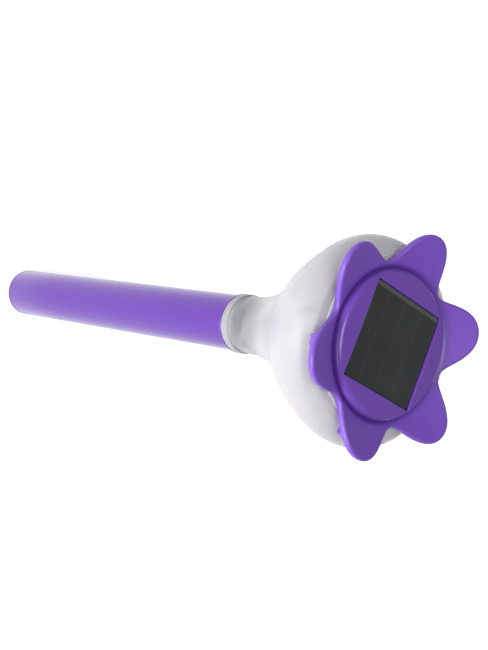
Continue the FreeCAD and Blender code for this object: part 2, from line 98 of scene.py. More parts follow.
def new_material(name):
    material = bpy.data.materials.new(name)
    material.use_nodes = True
    shader = material.node_tree.nodes["Principled BSDF"]
    return material, material.node_tree, shader


# Studio: a plain pale table top lit a little from below, a wide soft light low on the -Y side, a
# weaker one above it and an even surround: long soft highlights on the mouldings, faint shadows.
floor_mesh = bpy.data.meshes.new("floor")
floor_half = 6.0
floor_mesh.from_pydata(
    [(-floor_half, -floor_half, 0), (floor_half, -floor_half, 0), (floor_half, floor_half, 0),
     (-floor_half, floor_half, 0)], [], [(0, 1, 2, 3)])
floor = bpy.data.objects.new("floor", floor_mesh)
bpy.context.scene.collection.objects.link(floor)
floor_paint, tree, shader = new_material("floor_matt_paper")
shader.inputs["Base Color"].default_value = linear("#F7F7F8")
shader.inputs["Roughness"].default_value = 0.9
shader.inputs["Specular IOR Level"].default_value = 0.1
shader.inputs["Emission Color"].default_value = linear("#FFFFFF")
shader.inputs["Emission Strength"].default_value = 0.48
floor_mesh.materials.append(floor_paint)

world = bpy.data.worlds.new("surround")
bpy.context.scene.world = world
world.use_nodes = True
world.node_tree.nodes["Background"].inputs["Color"].default_value = linear("#FFFFFF")
world.node_tree.nodes["Background"].inputs["Strength"].default_value = 0.4


def soft_light(name, place, size, power, aim):
    lamp = bpy.data.lights.new(name, "AREA")
    lamp.shape = "RECTANGLE"
    lamp.size, lamp.size_y = size
    lamp.energy = power
    holder = bpy.data.objects.new(name, lamp)
    holder.location = place
    holder.rotation_mode = "QUATERNION"
    holder.rotation_quaternion = (Vector(aim) - Vector(place)).to_track_quat("-Z", "Y")
    bpy.context.scene.collection.objects.link(holder)


below_flower = (0, 0, 0.4)
soft_light("key_side", (0.85, -1.2, 0.6), (0.9, 0.7), 26.0, below_flower)
soft_light("key_top", (0.1, -0.5, 1.9), (0.7, 0.7), 11.0, below_flower)
bpy.context.scene.view_settings.view_transform = "Standard"
bpy.context.scene.view_settings.look = "None"


# Stake. A thin aluminium tube, dyed purple in the anodising bath after its mouth was rolled over
# into a small bead. The dye keeps the metal's gloss, with faint draw marks along its length.
def lathe(name, outline, turns=192, closed=True):
    """Spin (radius, height) points, in mm, about the stake's axis."""
    mesh = bpy.data.meshes.new(name)
    build = bmesh.new()
    rings = []
    for r, z in outline:
        if r < 1e-6:
            rings.append([build.verts.new((0, 0, z * MM))] * turns)
            continue
        ring = []
        for i in range(turns):
            angle = 2.0 * math.pi * i / turns
            ring.append(build.verts.new((r * math.cos(angle) * MM, r * math.sin(angle) * MM, z * MM)))
        rings.append(ring)
    pairs = list(zip(rings, rings[1:]))
    if closed:
        pairs.append((rings[-1], rings[0]))
    for low, high in pairs:
        for i in range(turns):
            j = (i + 1) % turns
            corners = []
            for v in (low[i], low[j], high[j], high[i]):
                if v not in corners:
                    corners.append(v)
            if len(corners) > 2:
                build.faces.new(corners)
    bmesh.ops.recalc_face_normals(build, faces=build.faces)
    build.to_mesh(mesh)
    build.free()
    return piece_from(name, mesh)


def piece_from(name, mesh, sharp=35.0):
    """A smooth-shaded object whose edges stay crisp where they turn more than the given angle."""
    mesh.shade_smooth()
    mesh.set_sharp_from_angle(angle=math.radians(sharp))
    piece = bpy.data.objects.new(name, mesh)
    bpy.context.scene.collection.objects.link(piece)
    return piece


def rounded(centre_r, centre_z, radius, start, end, steps=8):
    """Points on an arc about (centre_r, centre_z), angles in degrees from +r towards +z."""
    points = []
    for i in range(steps + 1):
        angle = math.radians(start + (end - start) * i / steps)
        points.append((centre_r + radius * math.cos(angle), centre_z + radius * math.sin(angle)))
    return points


tube_low, tube_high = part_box("stake_tube")
tube_bottom = tube_low.z / MM
tube_top = tube_high.z / MM
bead_radius = tube_high.x / MM
tube_radius = 19.0
tube_bore = 17.8
bead_rise = 2.2
tube_edge = 0.3
bead_round = 1.1
bead_neck = 0.5
end_stretch = 60.0
tube_outline = (
    [(tube_bore, tube_bottom + 0.2), (tube_bore + 0.2, tube_bottom), (tube_radius - tube_edge, tube_bottom)]
    + rounded(tube_radius - tube_edge, tube_bottom + tube_edge, tube_edge, -90, 0, 4)
    + [(tube_radius, tube_bottom + end_stretch), (tube_radius, tube_top - end_stretch)]
    + [(tube_radius, tube_top - bead_rise - 0.7)]
    + rounded(tube_radius + bead_neck, tube_top - bead_rise - bead_neck, bead_neck, 180, 110, 4)
    + rounded(bead_radius - bead_round, tube_top - bead_round, bead_round, -60, 90, 12)
    + rounded(tube_bore + tube_edge, tube_top - tube_edge, tube_edge, 90, 180, 4)
)
stake = lathe("stake_tube_skin", tube_outline)
anodised, tree, shader = new_material("anodised_aluminium_purple")
place = add_node(tree, "ShaderNodeTexCoord").outputs["Object"]
# Draw marks run along the tube. Real ones are finer than 0.1 mm apart; at 0.7 mm they can show.
stretch = add_node(tree, "ShaderNodeMapping", values={"Scale": (1.0, 1.0, 0.02)}, links=[(place, "Vector")])
draw_marks = add_node(
    tree, "ShaderNodeTexNoise", values={"Scale": 1.0 / (0.7 * MM), "Detail": 3.0},
    links=[(stretch.outputs[0], "Vector")])
shade = add_node(
    tree, "ShaderNodeMix", {"data_type": "RGBA"}, {"A": linear("#501E8E"), "B": linear("#5B279C")},
    [(draw_marks.outputs["Fac"], "Factor")])
tree.links.new(shade.outputs["Result"], shader.inputs["Base Color"])
satin = add_node(
    tree, "ShaderNodeMapRange", values={"To Min": 0.2, "To Max": 0.3},
    links=[(draw_marks.outputs["Fac"], "Value")])
tree.links.new(satin.outputs[0], shader.inputs["Roughness"])
grain = add_node(
    tree, "ShaderNodeBump", values={"Strength": 0.15, "Distance": 0.01 * MM},
    links=[(draw_marks.outputs["Fac"], "Height")])
tree.links.new(grain.outputs[0], shader.inputs["Normal"])
shader.inputs["Metallic"].default_value = 0.45
shader.inputs["Coat Weight"].default_value = 0.25
shader.inputs["Coat Roughness"].default_value = 0.1
stake.data.materials.append(anodised)
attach(stake, "stake")
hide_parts("stake_tube")


# Foot. A moulded plug pressed into the tube's lower end: a round-edged flange, a hollow skirt and
# crossed webs. ABS, coloured through to go with the tube, and satin from a lightly sparked mould.
def moulded(name, colour, darker, roughness, grain_mm=0.35, depth_mm=0.012, mottle_mm=9.0):
    """Injection-moulded plastic: an even colour, a faint flow mottle and a spark-eroded grain.

    The real grain is about 0.05 mm, too fine to show, so it is drawn several times coarser.
    """
    material, tree, shader = new_material(name)
    place = add_node(tree, "ShaderNodeTexCoord").outputs["Object"]
    mottle = add_node(
        tree, "ShaderNodeTexNoise", values={"Scale": 1.0 / (mottle_mm * MM), "Detail": 2.0},
        links=[(place, "Vector")])
    colours = add_node(
        tree, "ShaderNodeMix", {"data_type": "RGBA"}, {"A": linear(darker), "B": linear(colour)},
        [(mottle.outputs["Fac"], "Factor")])
    tree.links.new(colours.outputs["Result"], shader.inputs["Base Color"])
    grain = add_node(
        tree, "ShaderNodeTexNoise", values={"Scale": 1.0 / (grain_mm * MM), "Detail": 2.0},
        links=[(place, "Vector")])
    gloss = add_node(
        tree, "ShaderNodeMapRange", values={"To Min": roughness - 0.04, "To Max": roughness + 0.05},
        links=[(grain.outputs["Fac"], "Value")])
    tree.links.new(gloss.outputs[0], shader.inputs["Roughness"])
    relief = add_node(
        tree, "ShaderNodeBump", values={"Strength": 0.35, "Distance": depth_mm * MM},
        links=[(grain.outputs["Fac"], "Height")])
    tree.links.new(relief.outputs[0], shader.inputs["Normal"])
    shader.inputs["IOR"].default_value = 1.53
    return material


def box_mesh(build, low, high, bevel):
    """A block between two corners, in mm, with every edge rounded over."""
    corners = bmesh.ops.create_cube(build, size=1.0)["verts"]
    size = [(b - a) * MM for a, b in zip(low, high)]
    middle = Vector([(a + b) * 0.5 * MM for a, b in zip(low, high)])
    for v in corners:
        v.co = Vector([c * s for c, s in zip(v.co, size)]) + middle
    edges = list({e for v in corners for e in v.link_edges})
    rounded_over = bmesh.ops.bevel(
        build, geom=corners + edges, offset=bevel * MM, segments=3, profile=0.5, affect="EDGES")
    return list({v for f in rounded_over["faces"] for v in f.verts})


def finished(name, build, sharp=35.0):
    mesh = bpy.data.meshes.new(name)
    bmesh.ops.recalc_face_normals(build, faces=build.faces)
    build.to_mesh(mesh)
    build.free()
    return piece_from(name, mesh, sharp)


def dress(piece, material, body, slot, *nodes):
    piece.data.materials.clear()
    piece.data.materials.append(material)
    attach(piece, body)
    if nodes:
        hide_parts(*nodes)


def finish_cad(node, material):
    """Give a CAD node its finish, with crisp edges kept and curved faces smooth."""
    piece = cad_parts[node]
    piece.data.materials.clear()
    piece.data.materials.append(material)
    piece.data.shade_smooth()
    piece.data.set_sharp_from_angle(angle=math.radians(30.0))


foot_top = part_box("foot_plug")[1].z / MM
foot_round = 1.2
plug_radius = 17.72
plug_bore = 15.9
dimple_radius = 7.0
dimple_depth = 0.7
foot_outline = (
    [(0.0, dimple_depth), (dimple_radius, dimple_depth), (dimple_radius + 0.6, 0.2)]
    + [(dimple_radius + 1.4, 0.0)]
    + rounded(tube_radius - foot_round, foot_round, foot_round, -90, 0, 10)
    + rounded(tube_radius - tube_edge, tube_bottom - tube_edge, tube_edge, 0, 90, 4)
    + [(plug_radius, tube_bottom), (plug_radius, foot_top - 0.8), (plug_radius - 0.52, foot_top)]
    + [(plug_bore + 0.1, foot_top), (plug_bore, tube_bottom), (0.0, tube_bottom)]
)
foot = lathe("foot_plug_skin", foot_outline, closed=False)
foot_abs = moulded("moulded_abs_foot", "#5C3498", "#552F90", 0.42)
dress(foot, foot_abs, "stake", "foot_plastic", "foot_plug")
webs = bmesh.new()
web_reach = 15.8
web_half = 1.0
web_foot = tube_bottom - 0.1
web_top = foot_top - 2.0
box_mesh(webs, (-web_reach, -web_half, web_foot), (web_reach, web_half, web_top), 0.3)
box_mesh(webs, (-web_half, -web_reach, web_foot), (web_half, web_reach, web_top), 0.3)
dress(finished("foot_webs", webs), foot_abs, "stake", "foot_plastic")


# Shade. Polypropylene blow-moulded in one with its neck, collar and spigot, domed in again under the
# petals to a turned-down lip, and left natural, so it is milky: what lies behind shows as a soft shadow.
def smooth_curve(points, steps):
    """A smooth line through the given points, its direction at each set by the points beside it."""
    knots = [Vector(p) for p in points]
    runs = []
    for i in range(len(knots)):
        before = knots[max(i - 1, 0)]
        after = knots[min(i + 1, len(knots) - 1)]
        runs.append((after - before).normalized())
    line = []
    for i in range(len(knots) - 1):
        reach = (knots[i + 1] - knots[i]).length
        for k in range(steps):
            t = k / steps
            a = (2 * t ** 3 - 3 * t ** 2 + 1) * knots[i] + (t ** 3 - 2 * t ** 2 + t) * reach * runs[i]
            b = (3 * t ** 2 - 2 * t ** 3) * knots[i + 1] + (t ** 3 - t ** 2) * reach * runs[i + 1]
            line.append(a + b)
    line.append(knots[-1])
    return line


shade_low, shade_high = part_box("shade_bell")
rim_level = shade_high.z / MM
spigot_level = shade_low.z / MM
spigot_radius = 17.72
spigot_bore = 15.72
neck_radius = 19.5
collar_radius = 20.1
collar_level = tube_top + 6.5
shade_wall = 1.8
small_round = 0.3
collar_round = 0.9
groove_bottom = 275.0
groove_top = 277.0
groove_depth = 1.3
shade_line = smooth_curve(
    [(neck_radius, 311.0), (neck_radius, 316.0), (25.7, 339.0), (38.8, 362.0), (51.3, 380.0),
     (62.2, 400.0), (64.6, 409.5), (62.9, 417.5), (57.6, rim_level - 1.9), (52.2, rim_level)], 14)
lip_radius = 49.6
lip_wall = 1.8
lip_bottom = 420.8
inner_line = []
for i, point in enumerate(shade_line):
    along = (shade_line[min(i + 1, len(shade_line) - 1)] - shade_line[max(i - 1, 0)]).normalized()
    inner_line.append((point.x - along.y * shade_wall, point.y + along.x * shade_wall))
shade_outline = (
    [(spigot_bore, spigot_level + small_round), (spigot_bore + 0.4, spigot_level)]
    + rounded(spigot_radius - 0.5, spigot_level + 0.5, 0.5, -90, 0, 4)
    + [(spigot_radius, groove_bottom), (spigot_radius - groove_depth, groove_bottom)]
    + [(spigot_radius - groove_depth, groove_top), (spigot_radius, groove_top), (spigot_radius, tube_top)]
    + rounded(collar_radius - small_round, tube_top + small_round, small_round, -90, 0, 4)
    + rounded(collar_radius - collar_round, collar_level - collar_round, collar_round, 0, 90, 8)
    + [(neck_radius - 0.25, collar_level - 0.1), (neck_radius - 0.25, collar_level + 0.5)]
    + [(neck_radius, collar_level + 0.9)]
    + [(p.x, p.y) for p in shade_line]
    + [(lip_radius + small_round, rim_level), (lip_radius, rim_level - small_round)]
    + [(lip_radius, lip_bottom + small_round), (lip_radius + small_round, lip_bottom)]
    + [(lip_radius + lip_wall - small_round, lip_bottom), (lip_radius + lip_wall, lip_bottom + small_round)]
    + inner_line[::-1]
    + [(neck_radius - shade_wall, collar_level), (spigot_bore, collar_level - 4.0)]
)
bell = lathe("shade_bell_skin", shade_outline, 256)
frosted, tree, shader = new_material("natural_polypropylene_blown")
place = add_node(tree, "ShaderNodeTexCoord").outputs["Object"]
flow = add_node(
    tree, "ShaderNodeTexNoise", values={"Scale": 1.0 / (30.0 * MM), "Detail": 2.0},
    links=[(place, "Vector")])
milk = add_node(
    tree, "ShaderNodeMix", {"data_type": "RGBA"}, {"A": linear("#D8D7DA"), "B": linear("#E0DEE1")},
    [(flow.outputs["Fac"], "Factor")])
tree.links.new(milk.outputs["Result"], shader.inputs["Base Color"])
# The frosting's real grain is about 0.05 mm, too fine to show, so it is drawn at 0.4 mm.
frost = add_node(
    tree, "ShaderNodeTexNoise", values={"Scale": 1.0 / (0.4 * MM), "Detail": 2.0},
    links=[(place, "Vector")])
haze = add_node(
    tree, "ShaderNodeMapRange", values={"To Min": 0.26, "To Max": 0.32},
    links=[(frost.outputs["Fac"], "Value")])
tree.links.new(haze.outputs[0], shader.inputs["Roughness"])
relief = add_node(
    tree, "ShaderNodeBump", values={"Strength": 0.2, "Distance": 0.01 * MM},
    links=[(frost.outputs["Fac"], "Height")])
tree.links.new(relief.outputs[0], shader.inputs["Normal"])
shader.inputs["IOR"].default_value = 1.2
# How milky it looks changes with height and not with the wall, which is one thickness. The neck is
# made clearest, so that the end of the cell inside it shows as a soft dark shape.
neck_clarity = 0.84
neck_end = 318.0
bell_start = 345.0
height = add_node(tree, "ShaderNodeSeparateXYZ", links=[(place, "Vector")]).outputs["Z"]
above_collar = add_node(
    tree, "ShaderNodeMapRange", {"interpolation_type": "SMOOTHSTEP"},
    {"From Min": (collar_level - 1.0) * MM, "From Max": (collar_level + 4.0) * MM,
     "To Min": 0.6, "To Max": neck_clarity},
    [(height, "Value")])
below_bell = add_node(
    tree, "ShaderNodeMapRange", {"interpolation_type": "SMOOTHSTEP"},
    {"From Min": neck_end * MM, "From Max": bell_start * MM, "To Min": neck_clarity, "To Max": 0.64},
    [(height, "Value")])
clarity = add_node(
    tree, "ShaderNodeMath", {"operation": "MINIMUM"},
    links=[(above_collar.outputs[0], 0), (below_bell.outputs[0], 1)])
tree.links.new(clarity.outputs[0], shader.inputs["Transmission Weight"])
dress(bell, frosted, "head", "frosted_shade", "shade_bell")


# Bayonet ledges. Three short arcs moulded inside the shade's lip, under which the lid's tabs turn.
def arc_block(build, inner, outer, bottom, top, middle, half, steps=16):
    """A curved block: part of a flat ring, its ends rounded off a little."""
    sections = []
    for i in range(steps + 1):
        share = 2.0 * i / steps - 1.0
        angle = math.radians(middle + half * share)
        shrink = 0.35 * max(0.0, (abs(share) - 0.9) * 10.0)
        ring = []
        for r, z in ((inner + shrink, bottom + shrink), (outer, bottom + shrink), (outer, top - shrink),
                     (inner + shrink, top - shrink)):
            ring.append(build.verts.new((r * math.cos(angle) * MM, r * math.sin(angle) * MM, z * MM)))
        sections.append(ring)
    for a, b in zip(sections, sections[1:]):
        for k in range(4):
            build.faces.new((a[k], a[(k + 1) % 4], b[(k + 1) % 4], b[k]))
    build.faces.new(sections[0])
    build.faces.new(sections[-1])


lock_count = 3
lock_step = 360.0 / lock_count
ledge_radius = 47.2
ledge_height = 2.0
ledge_half = 12.0
ledges = bmesh.new()
for lock in range(lock_count):
    arc_block(
        ledges, ledge_radius, lip_radius + 0.5, lip_bottom, lip_bottom + ledge_height, lock_step * lock,
        ledge_half)
dress(finished("shade_ledges", ledges), frosted, "head", "frosted_shade")


# Seals. A black nitrile O-ring in the spigot's groove grips the tube. The square ring between the
# lid and the shade's rim is translucent silicone, so it doesn't show through the frosted plastic.
def rubber(name, colour, roughness):
    """Moulded rubber: near black, dusty in patches, so its shine breaks up."""
    return moulded(name, colour, "#101012", roughness, 0.25, 0.008, 3.0)


finish_cad("neck_seal", rubber("nitrile_rubber_moulded", "#1B1B1D", 0.5))
finish_cad("lid_seal", moulded("silicone_rubber_translucent", "#D9D8DC", "#CFCED3", 0.4))


# Flower. Six petals in one dished ABS moulding: a flat conical top face with a round-over all along
# its outline, a hollow underside, and a small purple lug under each petal that stands on the lid.
petal_count = 6
valley_radius = 50.0
petal_slope = 0.42
petal_thickness = 4.5
lid_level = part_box("shade_lid")[1].z / MM
valley_level = lid_level + 4.0
petal_inner = 45.5
seat_radius = 44.4
seat_level = 427.5
roll_width = 3.6
roll_depth = 1.7
edge_round = 2.3
skirt_wall = 2.1
hollow_start = 53.5
hollow_blend = 4.0
hollow_lift = 2.3
hollow_inner = 52.6
# The outline is a mean radius and waves of the angle, as (waves to the turn, size).
petal_mean = 61.1
petal_waves = ((6, 10.52), (12, -0.7), (18, -0.12))


def petal_edge(turn):
    """The outline and its outward direction at an angle about the axis."""
    radius = petal_mean
    change = 0.0
    for order, size in petal_waves:
        radius += size * math.cos(order * turn)
        change -= order * size * math.sin(order * turn)
    out = Vector((math.cos(turn), math.sin(turn)))
    across = Vector((-math.sin(turn), math.cos(turn)))
    outward = (out * radius - across * change).normalized()
    return out * radius, outward


def petal_top(radius):
    """The dished face, which rolls down into the joint with the hub."""
    roll = max(0.0, 1.0 - (radius - petal_inner) / roll_width)
    return valley_level + petal_slope * (radius - valley_radius) - roll_depth * roll * roll


def petal_under(radius):
    return max(lid_level, petal_top(radius) - petal_thickness)


def petal_section(turn):
    """One closed cut through the flower at an angle: (x, y, z) points in mm."""
    edge, outward = petal_edge(turn)
    out = Vector((math.cos(turn), math.sin(turn)))
    points = []

    def add(place, z):
        points.append((place.x, place.y, z))

    def inset(depth):
        return edge - outward * depth

    add(out * seat_radius, seat_level)
    add(out * (petal_inner - 0.1), seat_level)
    add(out * petal_inner, petal_top(petal_inner) - 0.15)
    start = out * (petal_inner + 0.2)
    knee = out * (petal_inner + 3.2)
    stop = inset(edge_round)
    if stop.length < knee.length:
        knee = start.lerp(stop, 0.7)
    for i in range(6):
        place = start.lerp(knee, i / 6.0)
        add(place, petal_top(place.length))
    for i in range(13):
        place = knee.lerp(stop, i / 12.0)
        add(place, petal_top(place.length))
    for i in range(1, 11):
        angle = math.radians(90.0 * i / 10)
        place = inset(edge_round * (1.0 - math.sin(angle)))
        add(place, petal_top(place.length) - edge_round * (1.0 - math.cos(angle)))
    foot = petal_top(edge.length) - petal_thickness
    add(edge, foot + 0.6)
    add(inset(0.12), foot + 0.2)
    add(inset(0.5), foot)
    add(inset(1.8), max(petal_under(inset(1.8).length), lid_level))
    hollow = inset(skirt_wall)
    room = max(0.0, min(1.0, (hollow.length - hollow_start) / hollow_blend))
    lift = hollow_lift * room * room * (3.0 - 2.0 * room)
    roof_start = inset(skirt_wall + 0.2)
    roof_end = out * min(hollow_inner, inset(skirt_wall + 0.5).length)
    add(hollow, petal_under(hollow.length) + 0.15 * lift)
    for i in range(7):
        place = roof_start.lerp(roof_end, i / 6.0)
        add(place, petal_under(place.length) + lift)
    add(out * min(hollow_inner - 0.2, inset(skirt_wall + 0.7).length), lid_level)
    add(out * seat_radius, lid_level)
    return points


def looped(build, sections):
    """Skin between closed sections that follow one another round a full turn."""
    rings = [[build.verts.new(Vector(p) * MM) for p in section] for section in sections]
    size = len(rings[0])
    for a, b in zip(rings, rings[1:] + rings[:1]):
        for k in range(size):
            m = (k + 1) % size
            build.faces.new((a[k], b[k], b[m], a[m]))


petal_cuts = 540
flower = bmesh.new()
looped(flower, [petal_section(2.0 * math.pi * i / petal_cuts) for i in range(petal_cuts)])
petals = finished("petal_ring_skin", flower, 50.0)
petal_abs = moulded("moulded_abs_purple_satin", "#6C42AE", "#663EA6", 0.38)
dress(petals, petal_abs, "cap", "petal_abs", "petal_ring")
lugs = bmesh.new()
lug_inner = 58.5
lug_outer = 62.5
lug_half = 3.5
lug_top = lid_level + 5.0
lug_offset = -10.0
for i in range(petal_count):
    corners = box_mesh(lugs, (lug_inner, -lug_half, lid_level), (lug_outer, lug_half, lug_top), 0.5)
    turn = Matrix.Rotation(math.radians(360.0 / petal_count * i + lug_offset), 4, "Z")
    bmesh.ops.transform(lugs, matrix=turn, verts=corners)
dress(finished("petal_lugs", lugs), petal_abs, "cap", "petal_abs")


# Hub. The ABS box that carries everything under the flower: a round, slightly domed face with a
# heavy rounded edge and a square recess for the panel, over a drum that holds the electronics.
hub_radius = hub_high.x / MM
hub_round = 4.0
hub_flat = hub_radius - hub_round
hub_shoulder = 428.1
crown_rise = 0.9
pocket_half = 30.15
pocket_corner = 0.8
pocket_lip = 0.45
drum_radius = 44.2
drum_bore = 42.2
drum_step = 427.6
drum_bottom = hub_low.z / MM
pocket_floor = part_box("panel_gasket")[0].z / MM
hub_ceiling = pocket_floor - 1.6


def hub_level(radius):
    if radius > hub_flat:
        return hub_shoulder + math.sqrt(max(hub_round ** 2 - (radius - hub_flat) ** 2, 0.0))
    return hub_shoulder + hub_round + crown_rise * (1.0 - (radius / hub_flat) ** 2)


def square_reach(turn, half, corner):
    """How far out a square with round corners lies at an angle about its middle."""
    c, s = abs(math.cos(turn)), abs(math.sin(turn))
    flat = half / max(c, s)
    core = half - corner
    if min(c, s) * flat <= core:
        return flat
    along = core * (c + s)
    return along + math.sqrt(max(along ** 2 - 2.0 * core ** 2 + corner ** 2, 0.0))


def hub_section(turn):
    out = Vector((math.cos(turn), math.sin(turn)))
    wall = square_reach(turn, pocket_half, pocket_corner)
    lip = pocket_lip
    start = square_reach(turn, pocket_half + lip, pocket_corner + lip)
    rim = hub_level(start)
    profile = [(0.0, pocket_floor), (wall * 0.5, pocket_floor), (wall, pocket_floor), (wall, rim - lip)]
    for angle in (22.5, 45.0, 67.5):
        turned = math.radians(angle)
        place = wall + (start - wall) * (1.0 - math.cos(turned))
        profile.append((place, rim - lip * (1.0 - math.sin(turned))))
    sweep = hub_flat + hub_round * math.pi / 2.0
    first = start
    if start > hub_flat:
        first = hub_flat + hub_round * math.asin((start - hub_flat) / hub_round)
    rows = 26
    for i in range(rows + 1):
        share = first + (sweep - first) * i / rows
        radius = share
        if share > hub_flat:
            radius = hub_flat + hub_round * math.sin((share - hub_flat) / hub_round)
        profile.append((radius, hub_level(radius)))
    profile += [(hub_radius, drum_step + 0.1), (hub_radius - 0.15, drum_step), (drum_radius, drum_step)]
    profile += [(drum_radius, drum_bottom + 0.2), (drum_radius - 0.2, drum_bottom)]
    profile += [(drum_bore, drum_bottom), (drum_bore, hub_ceiling), (0.0, hub_ceiling)]
    return [(out.x * r, out.y * r, z) for r, z in profile]


hub_cuts = 480
hub_build = bmesh.new()
looped(hub_build, [hub_section(2.0 * math.pi * i / hub_cuts) for i in range(hub_cuts)])
bmesh.ops.remove_doubles(hub_build, verts=hub_build.verts, dist=0.001 * MM)
hub = finished("hub_housing_skin", hub_build, 40.0)
hub_abs = moulded("moulded_abs_purple_hub", "#663EA2", "#60399A", 0.24)
dress(hub, hub_abs, "cap", "hub_abs", "hub_housing")
bosses = bmesh.new()


def post(build, x, y, radius, bore, bottom, top, turns=32):
    """A screw post with its pilot hole."""
    rings = []
    for r, z in ((bore, bottom), (radius - 0.2, bottom), (radius, bottom + 0.2), (radius, top), (bore, top)):
        ring = []
        for i in range(turns):
            angle = 2.0 * math.pi * i / turns
            ring.append(build.verts.new(Vector((x + r * math.cos(angle), y + r * math.sin(angle), z)) * MM))
        rings.append(ring)
    for a, b in zip(rings, rings[1:] + rings[:1]):
        for i in range(turns):
            j = (i + 1) % turns
            build.faces.new((a[i], a[j], b[j], b[i]))


post_circle = 38.0
post_radius = 2.6
pilot_radius = 1.05
for i in range(4):
    angle = math.radians(45.0 + 90.0 * i)
    x = post_circle * math.cos(angle)
    y = post_circle * math.sin(angle)
    post(bosses, x, y, post_radius, pilot_radius, drum_bottom, hub_ceiling - 0.1)
dress(finished("hub_bosses", bosses), hub_abs, "cap", "hub_abs")


# Solar panel. Four silicon strips on a fibre board with clear epoxy cast over them, a little proud
# where it wets the edge. The epoxy is opaque here and its finish draws the strips, the conductors
# between them and the tinned ribbon, where the pieces underneath have them.
panel_low, panel_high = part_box("solar_window")
panel_half = panel_high.x / MM
panel_top = panel_high.z / MM
panel_base = panel_low.z / MM


def square_ring(build, half, corner, z, count=160):
    ring = []
    for i in range(count):
        turn = 2.0 * math.pi * (i + 0.5) / count
        reach = square_reach(turn, half, corner)
        ring.append(build.verts.new(Vector((math.cos(turn) * reach, math.sin(turn) * reach, z)) * MM))
    return ring


def stacked(build, rings):
    for a, b in zip(rings, rings[1:]):
        for i in range(len(a)):
            j = (i + 1) % len(a)
            build.faces.new((a[i], a[j], b[j], b[i]))


window_corner = 0.6
window = bmesh.new()
epoxy_rows = [
    (panel_half - 0.4, panel_base), (panel_half, panel_base + 0.05), (panel_half, panel_top - 0.35),
    (panel_half - 0.1, panel_top - 0.12), (panel_half - 0.35, panel_top - 0.02),
    (panel_half - 0.8, panel_top), (panel_half - 1.5, panel_top - 0.1), (panel_half - 2.4, panel_top - 0.22),
    (panel_half - 4.0, panel_top - 0.27), (10.0, panel_top - 0.28),
]
window_rings = [square_ring(window, half, window_corner, z) for half, z in epoxy_rows]
stacked(window, window_rings)
window.faces.new(window_rings[-1])
under = square_ring(window, panel_half - 0.4, window_corner, panel_base + 0.5)
stacked(window, [under, window_rings[0]])
window.faces.new(under)
glazing = finished("solar_window_cast", window, 60.0)
cell_pitch = 14.9
first_line = 28.15
line_width = 0.45
busbar_inner_edge = -26.8
epoxy, tree, shader = new_material("epoxy_cast_over_silicon")
place = add_node(tree, "ShaderNodeTexCoord").outputs["Object"]
axes = add_node(tree, "ShaderNodeSeparateXYZ", links=[(place, "Vector")])
cloud = add_node(
    tree, "ShaderNodeTexNoise", values={"Scale": 1.0 / (40.0 * MM), "Detail": 2.0},
    links=[(place, "Vector")])
silicon_tone = add_node(
    tree, "ShaderNodeMix", {"data_type": "RGBA"}, {"A": linear("#0D1012"), "B": linear("#2C3231")},
    [(cloud.outputs["Fac"], "Factor")])
# The fine conductors: how far a point lies from the nearest one across the strips.
from_first = add_node(
    tree, "ShaderNodeMath", {"operation": "SUBTRACT"}, {1: first_line * MM}, [(axes.outputs["Y"], 0)])
strip_side = add_node(
    tree, "ShaderNodeMath", {"operation": "PINGPONG"}, {1: cell_pitch * 0.5 * MM},
    [(from_first.outputs[0], 0)])
on_line = add_node(
    tree, "ShaderNodeMapRange",
    values={"From Min": line_width * 0.8 * MM, "From Max": line_width * 0.3 * MM, "To Max": 0.13},
    links=[(strip_side.outputs[0], "Value")])
lined = add_node(
    tree, "ShaderNodeMix", {"data_type": "RGBA"}, {"B": linear("#6C7068")},
    [(on_line.outputs[0], "Factor"), (silicon_tone.outputs["Result"], "A")])
# The ribbon under the border: flux and solder leave it patchy.
patchy = add_node(
    tree, "ShaderNodeTexNoise", values={"Scale": 1.0 / (4.0 * MM), "Detail": 4.0, "Roughness": 0.7},
    links=[(place, "Vector")])
on_ribbon = add_node(
    tree, "ShaderNodeMapRange",
    values={"From Min": busbar_inner_edge * MM, "From Max": (busbar_inner_edge - 0.5) * MM},
    links=[(axes.outputs["X"], "Value")])
ribbon_share = add_node(
    tree, "ShaderNodeMath", {"operation": "MULTIPLY"},
    links=[(on_ribbon.outputs[0], 0), (patchy.outputs["Fac"], 1)])
face_colour = add_node(
    tree, "ShaderNodeMix", {"data_type": "RGBA"}, {"B": linear("#565C56")},
    [(ribbon_share.outputs[0], "Factor"), (lined.outputs["Result"], "A")])
tree.links.new(face_colour.outputs["Result"], shader.inputs["Base Color"])
ripple = add_node(
    tree, "ShaderNodeTexNoise", values={"Scale": 1.0 / (9.0 * MM), "Detail": 1.0}, links=[(place, "Vector")])
waver = add_node(
    tree, "ShaderNodeBump", values={"Strength": 0.2, "Distance": 0.06 * MM},
    links=[(ripple.outputs["Fac"], "Height")])
tree.links.new(waver.outputs[0], shader.inputs["Normal"])
dulling = add_node(
    tree, "ShaderNodeMapRange", values={"To Min": 0.12, "To Max": 0.22},
    links=[(ripple.outputs["Fac"], "Value")])
tree.links.new(dulling.outputs[0], shader.inputs["Roughness"])
shader.inputs["IOR"].default_value = 1.5
dress(glazing, epoxy, "cap", "panel_resin", "solar_window")

